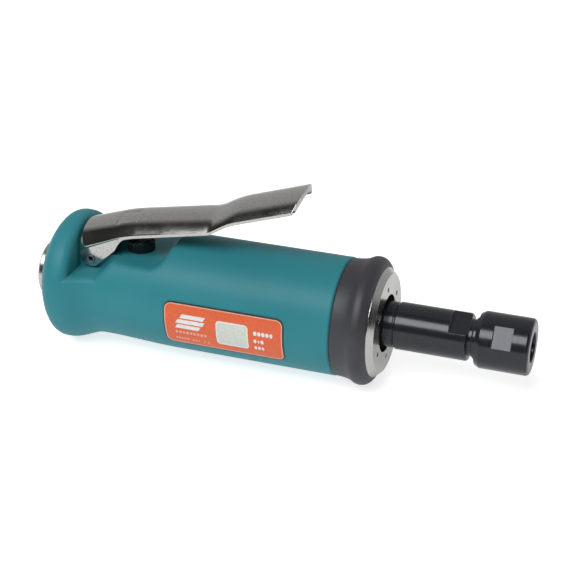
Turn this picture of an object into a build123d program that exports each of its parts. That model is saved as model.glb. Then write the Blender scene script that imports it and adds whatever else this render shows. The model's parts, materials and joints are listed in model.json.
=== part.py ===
from build123d import *
import math
import os

# Straight pneumatic die grinder, millimetres.
# +X runs along the spindle towards the collet, +Z is the lever side.
# The origin is the mouth of the collet, on the spindle axis.

# ---- stations along the spindle axis ----
CAP_FRONT = 2.0
CAP_REAR = -15.8
NOSE_FRONT = -18.5
NOSE_REAR = -55.0
RING_FRONT = -47.0
RING_BACK = -49.2
SKIRT_END = -58.0
COLLAR_REAR = -61.3
TAPER_START = -119.0
WAIST = -146.5
CROWN = -160.4
HOUSING_END = -168.6
GASKET_END = -169.3
INLET_END = -172.0

# ---- housing ----
BARREL_R = 20.2
WAIST_R = 19.33
CROWN_R = 22.8
REAR_FACE_R = 13.0
NECK_R = 18.4
RING_THREAD_R = 16.8
MOTOR_R = 15.5
MOTOR_BACK = -120.0
FLAT_Z = 13.4
FLAT_FRONT = -127.5
FLAT_RUNOUT_R = 5.5
POCKET_Z = 7.9
POCKET_FRONT = -146.4
LEVER_GAP_BACK = -155.7
EAR_HALF_WIDTH = 8.0
EAR_TOP_R = 3.6
RECESS_EDGE_R = 2.6

# ---- lock ring ----
SPANNER_CIRCLE_R = 12.4
SPANNER_HOLE_R = 0.85

# ---- nameplate ----
PLATE_FRONT = -77.0
PLATE_REAR = -119.0
PLATE_T = 0.25
PLATE_LOW_ANGLE = -31.0
PLATE_HIGH_ANGLE = 15.6
PLATE_CORNER_R = 2.4

# ---- lever ----
PIN_X = -150.7
PIN_Z = 11.5
PIN_R = 1.4
LEVER_HALF_WIDTH = 9.9
LEVER_T = 1.8
# Stations along the arch: x, height of the crown, rise of the arch above its edges.
LEVER_STATIONS = [
    (-158.0, 21.1, 7.75),
    (-139.3, 27.25, 5.9),
    (-134.0, 28.25, 5.5),
    (-106.5, 33.45, 5.1),
    (-99.4, 37.65, 4.9),
    (-74.9, 45.7, 4.9),
]
LEVER_REAR = -154.9
TIP_CORNER_X = -77.3
TIP_LEAD = 2.4
TIP_ROUND_R = 21.5
LUG_END_R = 3.1

# ---- throttle valve ----
STEM_X = -135.9
STEM_R = 1.5
STEM_TIP_Z = 1.25
STEM_TOP_Z = 26.0
STEM_HEAD_R = 2.0
REGULATOR_R = 3.95
REGULATOR_HEAD_R = 4.8
REGULATOR_TOP_Z = 17.6
KNURL_COUNT = 24
PASSAGE_R = 6.0
PASSAGE_BACK = -146.5
SEAT_BACK = -149.5
SEAT_HOLE_R = 4.0
INLET_BORE_R = 8.0
INLET_THREAD_R = 9.0
INLET_THREAD_FRONT = -158.0
INLET_FLANGE_R = 10.3
INLET_PORT_R = 5.7
VALVE_DISC_R = 5.5
VALVE_PIN_R = 1.2

# ---- motor ----
SHAFT_R = 4.0
ROTOR_R = 10.5
CYLINDER_R = 15.4
CYLINDER_BORE_R = 11.8
CYLINDER_OFFSET = 1.2
CYLINDER_FRONT = -68.0
CYLINDER_BACK = -108.0
FRONT_PLATE_FRONT = SKIRT_END
REAR_PLATE_BACK = -118.0
BLADE_COUNT = 4
BLADE_T = 1.5
BLADE_DEPTH = 5.6
SLOT_DEPTH = 5.9
LOCATING_PIN_R = 0.9
LOCATING_PIN_Z = -13.2

# ---- ball bearings, 8 x 22 x 7 ----
BEARING_OUTER_R = 11.0
BEARING_WIDTH = 7.0
BALL_R = 1.98
BALL_COUNT = 7
BALL_CIRCLE_R = 7.5
RACE_CLEARANCE = 0.06
FRONT_BEARING_X = -62.0
REAR_BEARING_X = -114.0

# ---- collet and cap ----
CAP_R = 9.525
NOSE_R = 8.0
NECK_THREAD_R = 6.85
COLLET_BORE_R = 3.175
COLLET_NOSE_R = 5.5
CAP_FLATS = 17.5
CAP_FLATS_X = -6.9
CAP_FLATS_LENGTH = 6.3
CAP_FLATS_TURN = -37.0
NOSE_FLATS = 12.7
NOSE_FLATS_LENGTH = 6.3
NOSE_FLATS_TURN = -68.0
TURNING_GAP = 0.05


def turned(*points):
    """A solid of revolution about the spindle axis from a closed outline of (x, radius) points."""
    outline = Polyline(*points, close=True)
    return revolve(make_face(outline), Axis.X)


def round_bar(x_low, x_high, radius, y=0.0, z=0.0):
    """A plain cylinder lying along X."""
    length = x_high - x_low
    return Pos((x_low + x_high) / 2, y, z) * Rot(0, 90, 0) * Cylinder(radius, length)


def ring_bar(x_low, x_high, outer, inner):
    """A plain tube lying along X."""
    return round_bar(x_low, x_high, outer) - round_bar(x_low - 1, x_high + 1, inner)


def upright(x, z_low, z_high, radius):
    """A plain cylinder standing along Z."""
    return Pos(x, 0, (z_low + z_high) / 2) * Cylinder(radius, z_high - z_low)


def block(x_low, x_high, y_low, y_high, z_low, z_high):
    """A plain block between two corners."""
    size = (x_high - x_low, y_high - y_low, z_high - z_low)
    middle = ((x_low + x_high) / 2, (y_low + y_high) / 2, (z_low + z_high) / 2)
    return Pos(*middle) * Box(*size)


def hole_circle(count, radius, first=0):
    """(y, z) places spread evenly round the spindle, the first one turned from +Z towards +Y."""
    angles = [math.radians(360 / count * index + first) for index in range(count)]
    return [(radius * math.sin(angle), radius * math.cos(angle)) for angle in angles]


def side_plate(outline, y_low, y_high):
    """A plate from a closed outline drawn in the XZ plane, between two Y levels."""
    face = make_face(Plane.XZ * outline)
    return Pos(0, y_high, 0) * extrude(face, y_high - y_low)


# ------------------------------------------------------------------ housing

def housing_skin():
    """The outside of the casing: neck, barrel, waist, crown and rounded rear end."""
    barrel_start = (COLLAR_REAR - 0.5, BARREL_R)
    neck = Polyline(
        (HOUSING_END, 0),
        (RING_BACK - 1.0, 0),
        (RING_BACK - 1.0, NECK_R),
        (COLLAR_REAR, NECK_R),
        (COLLAR_REAR, BARREL_R - 0.5),
        barrel_start,
    )
    barrel = Line(barrel_start, (TAPER_START, BARREL_R))
    waist = Spline((TAPER_START, BARREL_R), (WAIST, WAIST_R), tangents=[(-1, 0), (-1, 0)])
    crown = Spline((WAIST, WAIST_R), (CROWN, CROWN_R), tangents=[(-1, 0), (-1, 0)])
    rear = Spline(
        (CROWN, CROWN_R),
        (-164.2, 21.0),
        (-166.4, 17.7),
        (HOUSING_END, REAR_FACE_R),
        tangents=[(-1, 0), (-0.42, -1)],
    )
    rear_face = Line((HOUSING_END, REAR_FACE_R), (HOUSING_END, 0))
    return revolve(make_face(neck + barrel + waist + crown + rear + rear_face), Axis.X)


def flat_cutter():
    """The milled flat under the lever, running out forwards in an arc."""
    high = 30.0
    runout = CenterArc((FLAT_FRONT, FLAT_Z + FLAT_RUNOUT_R), FLAT_RUNOUT_R, 270, 90)
    corner = (FLAT_FRONT + FLAT_RUNOUT_R, FLAT_Z + FLAT_RUNOUT_R)
    sides = Polyline(
        corner,
        (corner[0], high),
        (LEVER_GAP_BACK - 1.0, high),
        (LEVER_GAP_BACK, FLAT_Z),
        (FLAT_FRONT, FLAT_Z),
    )
    return side_plate(runout + sides, -30, 30)


def pocket_cutters():
    """The two side pockets that the lever's lugs swing in."""
    rise = FLAT_Z - POCKET_Z
    floor = Polyline(
        (LEVER_GAP_BACK, POCKET_Z),
        (POCKET_FRONT, POCKET_Z),
        (POCKET_FRONT + rise, FLAT_Z),
        (POCKET_FRONT + rise, FLAT_Z + 1.0),
        (LEVER_GAP_BACK, FLAT_Z + 1.0),
        close=True,
    )
    near = side_plate(floor, -30, -EAR_HALF_WIDTH)
    far = side_plate(floor, EAR_HALF_WIDTH, 30)
    return near + far


def softened(skin):
    """The skin with the rim of the lever's recess rounded."""
    front = FLAT_FRONT + FLAT_RUNOUT_R + 0.5
    rim = []
    for edge in skin.edges().filter_by(GeomType.BSPLINE):
        middle = edge.center()
        if CROWN < middle.X < front and middle.Z > POCKET_Z - 0.1:
            rim.append(edge)
    return fillet(rim, RECESS_EDGE_R)


def across_pin(radius, length):
    """A plain cylinder along the lever pin's axis."""
    return Pos(PIN_X, 0, PIN_Z) * Rot(90, 0, 0) * Cylinder(radius, length)


def lever_ear():
    """The block between the lugs that holds the lever pin."""
    width = EAR_HALF_WIDTH
    back = LEVER_GAP_BACK - 2.0
    base = block(back, PIN_X + EAR_TOP_R, -width, width, 9.0, PIN_Z)
    rear_web = block(back, PIN_X, -width, width, 9.0, PIN_Z + 1.2)
    return base + rear_web + across_pin(EAR_TOP_R, 2 * width)


def housing_bores():
    """Motor bore, front thread, air passage and inlet bore, as one stepped cutter."""
    return turned(
        (RING_BACK + 1, 0),
        (RING_BACK + 1, RING_THREAD_R),
        (SKIRT_END, RING_THREAD_R),
        (SKIRT_END, MOTOR_R),
        (MOTOR_BACK, MOTOR_R),
        (MOTOR_BACK, PASSAGE_R),
        (PASSAGE_BACK, PASSAGE_R),
        (PASSAGE_BACK, INLET_BORE_R),
        (INLET_THREAD_FRONT, INLET_BORE_R),
        (INLET_THREAD_FRONT, INLET_THREAD_R),
        (HOUSING_END - 1, INLET_THREAD_R),
        (HOUSING_END - 1, 0),
    )


def regulator_bore():
    """The upright bore for the speed regulator, with its retaining ring groove."""
    bore = upright(STEM_X, 0, FLAT_Z + 10, REGULATOR_R + TURNING_GAP)
    groove = upright(STEM_X, 11.2, 12.0, 4.9)
    return bore + groove


def make_housing():
    """The casing with its recess for the lever, its bores and the cross hole for the lever pin."""
    skin = softened(housing_skin() - flat_cutter() - pocket_cutters())
    body = skin + lever_ear()
    return body - housing_bores() - regulator_bore() - across_pin(PIN_R, 60)


def make_exhaust_collar():
    """Soft sleeve with a raised front bead and a rounded nose."""
    rim = (COLLAR_REAR + 0.4, 20.0)
    bead = (-52.8, 21.8)
    back = Polyline((RING_BACK, NECK_R), (COLLAR_REAR, NECK_R), (COLLAR_REAR, 19.6), rim)
    swell = Spline(rim, (-58.0, 20.25), (-55.4, 20.9), bead, tangents=[(1, 0.05), (1, 0)])
    nose = Spline(bead, (-50.4, 20.9), (RING_BACK, 18.7), tangents=[(1, 0), (0.25, -1)])
    face = Line((RING_BACK, 18.7), (RING_BACK, NECK_R))
    return revolve(make_face(back + swell + nose + face), Axis.X)


def make_lock_ring():
    """Threaded ring with a chamfered face and six spanner holes through it."""
    ring = turned(
        (RING_FRONT, 9.8),
        (RING_FRONT, 16.8),
        (RING_BACK + 0.2, 18.6),
        (RING_BACK, 18.6),
        (RING_BACK, RING_THREAD_R),
        (SKIRT_END, RING_THREAD_R),
        (SKIRT_END, 14.2),
        (RING_BACK - 0.8, 14.2),
        (RING_BACK - 0.8, 9.8),
    )
    for y, z in hole_circle(6, SPANNER_CIRCLE_R):
        ring -= round_bar(RING_BACK - 2, RING_FRONT + 1, SPANNER_HOLE_R, y, z)
    return ring


def make_muffler_ring():
    return ring_bar(SKIRT_END + 1.6, RING_BACK - 0.8, 14.2, 10.2)


def make_lock_ring_o_ring():
    """Seal between the front end plate and the lock ring's skirt."""
    return Pos(SKIRT_END + 0.8, 0, 0) * Rot(0, 90, 0) * Torus(13.4, 0.8)


def make_nameplate():
    """Thin curved label on the near side of the barrel, with rounded corners."""
    band = ring_bar(PLATE_REAR, PLATE_FRONT, BARREL_R + PLATE_T, BARREL_R)
    half_sweep = math.radians(PLATE_HIGH_ANGLE - PLATE_LOW_ANGLE) / 2
    height = 2 * BARREL_R * math.sin(half_sweep)
    outline = RectangleRounded(PLATE_FRONT - PLATE_REAR, height, PLATE_CORNER_R)
    window = Rot(90, 0, 0) * extrude(outline, 2 * BARREL_R)
    middle_angle = (PLATE_LOW_ANGLE + PLATE_HIGH_ANGLE) / 2
    return band & (Pos((PLATE_FRONT + PLATE_REAR) / 2, 0, 0) * Rot(-middle_angle, 0, 0) * window)


# ------------------------------------------------------------------ lever

def lever_section(x, crown, rise):
    """The sheet's arched cross-section at one station."""
    outer_r = (LEVER_HALF_WIDTH ** 2 + rise ** 2) / (2 * rise)
    half_sweep = math.degrees(math.asin(LEVER_HALF_WIDTH / outer_r))
    centre = (0, crown - outer_r)
    outer = CenterArc(centre, outer_r, 90 - half_sweep, 2 * half_sweep)
    inner = CenterArc(centre, outer_r - LEVER_T, 90 - half_sweep, 2 * half_sweep)
    ends = Line(outer @ 0, inner @ 0) + Line(outer @ 1, inner @ 1)
    return Plane(origin=(x, 0, 0), x_dir=(0, 1, 0), z_dir=(1, 0, 0)) * make_face(outer + inner + ends)


def lever_arch():
    """The bent and arched sheet, ruled from station to station."""
    return loft([lever_section(*station) for station in LEVER_STATIONS], ruled=True)


def lug_outline():
    """Side view of a lug: rounded under the pin, sloping up to the arch's edge."""
    return Polyline(
        (LEVER_REAR, 15.1),
        (LEVER_REAR, 11.6),
        (-154.3, 10.1),
        (-153.0, 8.95),
        (PIN_X, PIN_Z - LUG_END_R),
        (-149.0, 8.9),
        (-147.6, 10.2),
        (-141.5, 15.9),
        (-140.3, 18.2),
        (-139.0, 19.8),
        (-136.7, 21.4),
        (-134.6, 22.6),
        (-140.5, 21.2),
        close=True,
    )


def make_throttle_lever():
    """Pressed lever: the arch, its two lugs, the rounded tip and the hole for its pin."""
    arch = lever_arch()
    near = side_plate(lug_outline(), -LEVER_HALF_WIDTH, LEVER_T - LEVER_HALF_WIDTH)
    far = side_plate(lug_outline(), LEVER_HALF_WIDTH - LEVER_T, LEVER_HALF_WIDTH)
    behind = block(LEVER_REAR - 20, LEVER_REAR, -20, 20, 0, 60)
    tip_block = block(TIP_CORNER_X - 3, TIP_CORNER_X + 12, -20, 20, 20, 60)
    tip_disc = upright(TIP_CORNER_X + TIP_LEAD - TIP_ROUND_R, 15, 65, TIP_ROUND_R)
    tip_waste = tip_block - tip_disc
    return arch + near + far - behind - tip_waste - across_pin(PIN_R + TURNING_GAP, 60)


def make_lever_pin():
    """Slotted spring pin."""
    half_length = LEVER_HALF_WIDTH + 0.2
    pin = Cylinder(PIN_R, 2 * half_length) - Cylinder(PIN_R - 0.55, 2 * half_length + 2)
    slot = Pos(PIN_R, 0, 0) * Box(2, 0.4, 2 * half_length + 2)
    edges = (pin - slot).edges().filter_by(GeomType.CIRCLE).group_by(Axis.Z)
    pin = chamfer(edges[0] + edges[-1], 0.12)
    return Pos(PIN_X, 0, PIN_Z) * Rot(90, 0, 0) * Rot(0, 0, 180) * pin


# ------------------------------------------------------------------ throttle valve

def stem_turned(*points):
    """A solid of revolution about the valve stem's upright axis from (radius, z) points."""
    outline = Plane.XZ * Polyline(*points, close=True)
    return Pos(STEM_X, 0, 0) * revolve(make_face(outline), Axis.Z)


def make_valve_stem():
    """Pin with a rounded tip and a domed head under the lever."""
    shaft = upright(STEM_X, STEM_TIP_Z + STEM_R, STEM_TOP_Z - STEM_HEAD_R, STEM_R)
    head = upright(STEM_X, 22.4, STEM_TOP_Z - STEM_HEAD_R, STEM_HEAD_R)
    tip = Pos(STEM_X, 0, STEM_TIP_Z + STEM_R) * Sphere(STEM_R)
    dome = Pos(STEM_X, 0, STEM_TOP_Z - STEM_HEAD_R) * Sphere(STEM_HEAD_R)
    return shaft + head + tip + dome


def make_speed_regulator():
    """Turning sleeve round the stem: knurled head above, windowed skirt in the air passage."""
    bore = STEM_R + TURNING_GAP
    sleeve = stem_turned(
        (bore, 6.3),
        (bore, 8.2),
        (2.5, 8.2),
        (2.5, 9.6),
        (bore, 9.6),
        (bore, REGULATOR_TOP_Z),
        (REGULATOR_HEAD_R - 0.6, REGULATOR_TOP_Z),
        (REGULATOR_HEAD_R, REGULATOR_TOP_Z - 0.6),
        (REGULATOR_HEAD_R, FLAT_Z + TURNING_GAP),
        (REGULATOR_R, FLAT_Z + TURNING_GAP),
        (REGULATOR_R, 12.05),
        (3.4, 12.05),
        (3.4, 11.15),
        (REGULATOR_R, 11.15),
        (REGULATOR_R, 9.2),
        (3.1, 9.2),
        (3.1, 7.9),
        (REGULATOR_R, 7.9),
        (REGULATOR_R, 2.2),
        (2.8, 2.2),
        (2.8, 6.3),
    )
    window = Pos(STEM_X, 0, 3.6) * Box(20, 4.2, 3.0)
    slot = Pos(STEM_X, 0, REGULATOR_TOP_Z) * Box(20, 1.2, 1.6)
    sleeve = sleeve - window - slot
    groove = Pos(REGULATOR_HEAD_R + 0.1, 0, 15.5) * Cylinder(0.3, 6)
    for index in range(KNURL_COUNT):
        sleeve -= Pos(STEM_X, 0, 0) * Rot(0, 0, 360 / KNURL_COUNT * index) * groove
    return sleeve


def make_regulator_retaining_ring():
    ring = upright(STEM_X, 11.25, 11.95, 4.85) - upright(STEM_X, 11, 12.2, 3.5)
    gap = Pos(STEM_X + 4, 0, 11.6) * Box(3, 2.2, 2)
    return ring - gap


def make_regulator_o_ring():
    return Pos(STEM_X, 0, 8.55) * Torus(3.53, 0.4)


def make_stem_o_ring():
    return Pos(STEM_X, 0, 8.9) * Torus(2.02, 0.45)


def make_valve_seat():
    """Insert pressed against the shoulder of the inlet bore."""
    return turned(
        (PASSAGE_BACK, SEAT_HOLE_R + 0.6),
        (PASSAGE_BACK, INLET_BORE_R),
        (SEAT_BACK, INLET_BORE_R),
        (SEAT_BACK, SEAT_HOLE_R),
        (PASSAGE_BACK - 1.0, SEAT_HOLE_R),
    )


def make_tip_valve():
    """Sealing disc with a pin that reaches forward under the valve stem."""
    pin_end = -133.6
    return turned(
        (pin_end, 0),
        (pin_end, VALVE_PIN_R - 0.3),
        (pin_end - 0.3, VALVE_PIN_R),
        (SEAT_BACK, VALVE_PIN_R),
        (SEAT_BACK, VALVE_DISC_R),
        (SEAT_BACK - 1.8, VALVE_DISC_R),
        (SEAT_BACK - 1.8, 2.0),
        (SEAT_BACK - 3.0, 2.0),
        (SEAT_BACK - 3.0, 0),
    )


def make_valve_spring():
    """Coil spring behind the tip valve."""
    wire_r = 0.3
    coil_r = 2.9
    low = SEAT_BACK - 2.15
    high = INLET_THREAD_FRONT - 0.3
    length = low - high
    path = Helix(pitch=length / 4, height=length, radius=coil_r)
    start = path @ 0
    section = Plane(origin=start, z_dir=path % 0) * Circle(wire_r)
    coil = sweep(section, path=path, is_frenet=True)
    return Pos(low, 0, 0) * Rot(0, -90, 0) * coil


def make_inlet_bushing():
    """Threaded air inlet with a quarter inch pipe thread and a flange."""
    return turned(
        (INLET_THREAD_FRONT, 7.0),
        (INLET_THREAD_FRONT, INLET_THREAD_R),
        (GASKET_END, INLET_THREAD_R),
        (GASKET_END, INLET_FLANGE_R),
        (INLET_END + 0.6, INLET_FLANGE_R),
        (INLET_END, INLET_FLANGE_R - 0.6),
        (INLET_END, INLET_PORT_R + 0.9),
        (INLET_END + 0.9, INLET_PORT_R),
        (INLET_END + 11.9, INLET_PORT_R),
        (INLET_END + 11.9, 5.0),
        (INLET_THREAD_FRONT - 1.0, 5.0),
        (INLET_THREAD_FRONT - 1.0, 7.0),
    )


def make_inlet_screen():
    """Perforated disc in the mouth of the bushing, under the spring."""
    screen = round_bar(INLET_THREAD_FRONT - 1.0, INLET_THREAD_FRONT - 0.6, 6.95)
    for row in range(-3, 4):
        for column in range(-3, 4):
            if math.hypot(row, column) <= 3.2:
                screen -= round_bar(-161, -156, 0.5, row * 1.5, column * 1.5)
    return screen


def make_inlet_gasket():
    return ring_bar(GASKET_END, HOUSING_END, INLET_FLANGE_R, INLET_THREAD_R)


# ------------------------------------------------------------------ motor

def make_front_end_plate():
    """Plate that carries the front bearing, with a ring of exhaust holes."""
    plate = turned(
        (FRONT_PLATE_FRONT, BEARING_OUTER_R),
        (FRONT_PLATE_FRONT, MOTOR_R - 0.05),
        (CYLINDER_FRONT, MOTOR_R - 0.05),
        (CYLINDER_FRONT, SHAFT_R + 0.3),
        (FRONT_BEARING_X - BEARING_WIDTH / 2, SHAFT_R + 0.3),
        (FRONT_BEARING_X - BEARING_WIDTH / 2, BEARING_OUTER_R),
    )
    for y, z in hole_circle(6, 13.3, 30):
        plate -= round_bar(CYLINDER_FRONT - 1, FRONT_PLATE_FRONT + 1, 1.2, y, z)
    return plate - locating_pin_bore()


def make_rear_end_plate():
    """Plate that carries the rear bearing, with three air holes on the inlet side."""
    plate = turned(
        (CYLINDER_BACK, SHAFT_R + 0.3),
        (CYLINDER_BACK, MOTOR_R - 0.05),
        (REAR_PLATE_BACK, MOTOR_R - 0.05),
        (REAR_PLATE_BACK, BEARING_OUTER_R),
        (REAR_BEARING_X + BEARING_WIDTH / 2, BEARING_OUTER_R),
        (REAR_BEARING_X + BEARING_WIDTH / 2, SHAFT_R + 0.3),
    )
    for angle_deg in (60, 90, 120):
        angle = math.radians(angle_deg)
        y, z = 13.2 * math.sin(angle), 13.2 * math.cos(angle)
        plate -= round_bar(REAR_PLATE_BACK - 1, CYLINDER_BACK + 1, 1.4, y, z)
    return plate - locating_pin_bore()


def locating_pin_bore():
    """The lengthways bore shared by the cylinder and both end plates."""
    return round_bar(-113.0, -63.0, LOCATING_PIN_R, 0, LOCATING_PIN_Z)


def make_locating_pin():
    """Pin that keeps the cylinder and the end plates in line."""
    return locating_pin_bore()


def make_cylinder():
    """Motor cylinder: bore offset from the spindle, inlet slots on one side, exhaust on the other."""
    cylinder = round_bar(CYLINDER_BACK, CYLINDER_FRONT, CYLINDER_R)
    cylinder -= round_bar(CYLINDER_BACK - 1, CYLINDER_FRONT + 1, CYLINDER_BORE_R, 0, CYLINDER_OFFSET)
    cylinder -= block(-103, -73, -20, -CYLINDER_R + 1.0, -5, 5)
    for index in range(4):
        slot_x = -101 + 7 * index
        cylinder -= block(slot_x, slot_x + 3, -20, -8, -3, 3)
    cylinder -= block(CYLINDER_BACK - 1, -80, CYLINDER_R - 1.2, 20, -4.5, 4.5)
    for index in range(3):
        slot_x = -103 + 7 * index
        cylinder -= block(slot_x, slot_x + 3, 8, 20, -2, 2)
    return cylinder - locating_pin_bore()


def blade_places():
    """Rotations that carry a blade slot from the top of the rotor round to each place."""
    return [Rot(360 / BLADE_COUNT * index + 20, 0, 0) for index in range(BLADE_COUNT)]


def make_rotor():
    """Slotted rotor and its one-piece shaft, threaded in front for the collet body."""
    rotor = turned(
        (-41.5, 0),
        (-41.5, SHAFT_R - 0.5),
        (-42.0, SHAFT_R),
        (CYLINDER_FRONT - 0.1, SHAFT_R),
        (CYLINDER_FRONT - 0.1, ROTOR_R),
        (CYLINDER_BACK + 0.1, ROTOR_R),
        (CYLINDER_BACK + 0.1, SHAFT_R),
        (REAR_PLATE_BACK + 0.2, SHAFT_R),
        (REAR_PLATE_BACK + 0.2, 0),
    )
    slot = block(CYLINDER_BACK - 1, CYLINDER_FRONT + 1, -0.8, 0.8, ROTOR_R - SLOT_DEPTH, ROTOR_R + 1)
    slot = slot & ring_bar(CYLINDER_BACK + 0.1, CYLINDER_FRONT - 0.1, 20, SHAFT_R)
    for place in blade_places():
        rotor -= place * slot
    return rotor


def make_rotor_blades():
    """Four flat blades, drawn pushed back into their slots."""
    top = ROTOR_R - 0.1
    half = BLADE_T / 2
    blade = block(CYLINDER_BACK + 0.2, CYLINDER_FRONT - 0.2, -half, half, top - BLADE_DEPTH, top)
    return Compound([place * blade for place in blade_places()])


def make_bearing(centre_x):
    """Deep groove ball bearing as its outer race, inner race, balls and cage."""
    low = centre_x - BEARING_WIDTH / 2
    high = centre_x + BEARING_WIDTH / 2
    groove = Pos(centre_x, 0, 0) * Rot(0, 90, 0) * Torus(BALL_CIRCLE_R, BALL_R + RACE_CLEARANCE)
    outer = ring_bar(low, high, BEARING_OUTER_R, 9.0) - groove
    inner = ring_bar(low, high, 6.0, SHAFT_R) - groove
    cage = ring_bar(centre_x - 1.2, centre_x + 1.2, 8.1, 6.9)
    balls = []
    for y, z in hole_circle(BALL_COUNT, BALL_CIRCLE_R):
        place = Pos(centre_x, y, z)
        balls.append(place * Sphere(BALL_R))
        cage -= place * Sphere(BALL_R + 0.08)
    side_ring = ring_bar(centre_x - 2.9, centre_x - 2.15, 8.1, 6.9)
    bars = [ring_segment(centre_x, index) for index in range(BALL_COUNT)]
    return outer, inner, Compound(balls), cage_solid(cage, side_ring, bars)


def ring_segment(centre_x, index):
    """One bar of a cage, half way between two balls, joined to the cage's side ring."""
    turn = 360 / BALL_COUNT * (index + 0.5)
    bar = block(centre_x - 2.9, centre_x + 1.2, -0.6, 0.6, 6.95, 8.05)
    return Rot(-turn, 0, 0) * bar


def cage_solid(cage, side_ring, bars):
    """The pocketed band of a cage joined by its bars to the side ring."""
    whole = side_ring
    for bar in bars:
        whole = whole + bar
    return whole + cage


def make_bearing_spacer():
    return ring_bar(FRONT_BEARING_X + BEARING_WIDTH / 2, NOSE_REAR, 5.6, SHAFT_R)


def make_wave_washer():
    """Spring washer that loads the rear bearing's outer race."""
    washer_t = 0.8
    return ring_bar(MOTOR_BACK, MOTOR_BACK + washer_t, 10.8, 9.0)


# ------------------------------------------------------------------ spindle nose

def wrench_pocket(centre_x, length, across, turn):
    """Two opposite flats, across the given distance, for a flat-jawed wrench."""
    low, high = centre_x - length / 2, centre_x + length / 2
    near = block(low, high, -20, -across / 2, -20, 20)
    far = block(low, high, across / 2, 20, -20, 20)
    return Rot(turn, 0, 0) * (near + far)


def make_collet_body():
    """Spindle nose: rear collar, barrel with two flats, threaded neck and taper socket."""
    body = turned(
        (NOSE_REAR, SHAFT_R),
        (NOSE_REAR, 7.7),
        (-43.8, 7.7),
        (-43.8, 7.0),
        (-43.2, 7.0),
        (-43.2, NOSE_R - 0.4),
        (-42.8, NOSE_R),
        (NOSE_FRONT - 0.6, NOSE_R),
        (NOSE_FRONT, NOSE_R - 0.6),
        (NOSE_FRONT, 6.2),
        (NOSE_FRONT + 1.2, 6.2),
        (NOSE_FRONT + 1.6, NECK_THREAD_R),
        (-6.0, NECK_THREAD_R),
        (-5.4, NECK_THREAD_R - 0.6),
        (-5.4, 5.35),
        (-24.0, 3.75),
        (-24.0, 3.5),
        (-38.0, 3.5),
        (-38.0, 0.0),
        (-41.0, 0.0),
        (-41.0, SHAFT_R),
    )
    flats_x = NOSE_FRONT - NOSE_FLATS_LENGTH / 2
    return body - wrench_pocket(flats_x, NOSE_FLATS_LENGTH, NOSE_FLATS, NOSE_FLATS_TURN)


def make_collet():
    """Slotted taper collet with a conical nose."""
    collet = turned(
        (0, COLLET_BORE_R + 0.25),
        (0, 4.7),
        (-3.6, COLLET_NOSE_R),
        (-5.2, COLLET_NOSE_R),
        (-5.3, 5.30),
        (-23.8, 3.72),
        (-23.8, COLLET_BORE_R),
        (-0.25, COLLET_BORE_R),
    )
    for index in range(4):
        cut = block(-18.0, 1.0, -0.3, 0.3, 0, 10)
        collet -= Rot(90 * index + 45, 0, 0) * cut
    return collet


def make_collet_cap():
    """Collet nut: threaded skirt, conical seat, round mouth and two wrench flats."""
    thread_r = NECK_THREAD_R + TURNING_GAP
    cap = turned(
        (CAP_FRONT, 5.3),
        (CAP_FRONT, CAP_R - 1.0),
        (CAP_FRONT - 0.3, CAP_R - 0.35),
        (CAP_FRONT - 1.0, CAP_R),
        (CAP_REAR + 1.5, CAP_R),
        (CAP_REAR, CAP_R - 0.8),
        (CAP_REAR, thread_r + 0.5),
        (CAP_REAR + 0.5, thread_r),
        (-5.0, thread_r),
        (-5.0, COLLET_NOSE_R + TURNING_GAP),
        (-3.6, COLLET_NOSE_R + TURNING_GAP),
        (-0.3, 4.85),
        (0.3, 4.85),
        (CAP_FRONT - 0.4, 5.0),
    )
    return cap - wrench_pocket(CAP_FLATS_X, CAP_FLATS_LENGTH, CAP_FLATS, CAP_FLATS_TURN)


# ------------------------------------------------------------------ write the nodes

def all_parts():
    parts = {
        "housing": make_housing(),
        "exhaust_collar": make_exhaust_collar(),
        "lock_ring": make_lock_ring(),
        "muffler_ring": make_muffler_ring(),
        "lock_ring_o_ring": make_lock_ring_o_ring(),
        "nameplate": make_nameplate(),
        "throttle_lever": make_throttle_lever(),
        "lever_pin": make_lever_pin(),
        "valve_stem": make_valve_stem(),
        "speed_regulator": make_speed_regulator(),
        "regulator_retaining_ring": make_regulator_retaining_ring(),
        "regulator_o_ring": make_regulator_o_ring(),
        "stem_o_ring": make_stem_o_ring(),
        "valve_seat": make_valve_seat(),
        "tip_valve": make_tip_valve(),
        "valve_spring": make_valve_spring(),
        "inlet_bushing": make_inlet_bushing(),
        "inlet_screen": make_inlet_screen(),
        "inlet_gasket": make_inlet_gasket(),
        "front_end_plate": make_front_end_plate(),
        "rear_end_plate": make_rear_end_plate(),
        "locating_pin": make_locating_pin(),
        "cylinder": make_cylinder(),
        "rotor": make_rotor(),
        "rotor_blades": make_rotor_blades(),
        "bearing_spacer": make_bearing_spacer(),
        "wave_washer": make_wave_washer(),
        "collet_body": make_collet_body(),
        "collet": make_collet(),
        "collet_cap": make_collet_cap(),
    }
    for place, centre_x in (("front", FRONT_BEARING_X), ("rear", REAR_BEARING_X)):
        outer, inner, balls, cage = make_bearing(centre_x)
        parts[place + "_bearing_outer_race"] = outer
        parts[place + "_bearing_inner_race"] = inner
        parts[place + "_bearing_balls"] = balls
        parts[place + "_bearing_cage"] = cage
    return parts


os.makedirs("parts", exist_ok=True)
for node, shape in all_parts().items():
    export_step(shape, "parts/" + node + ".step")
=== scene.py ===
import json
import math

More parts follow.
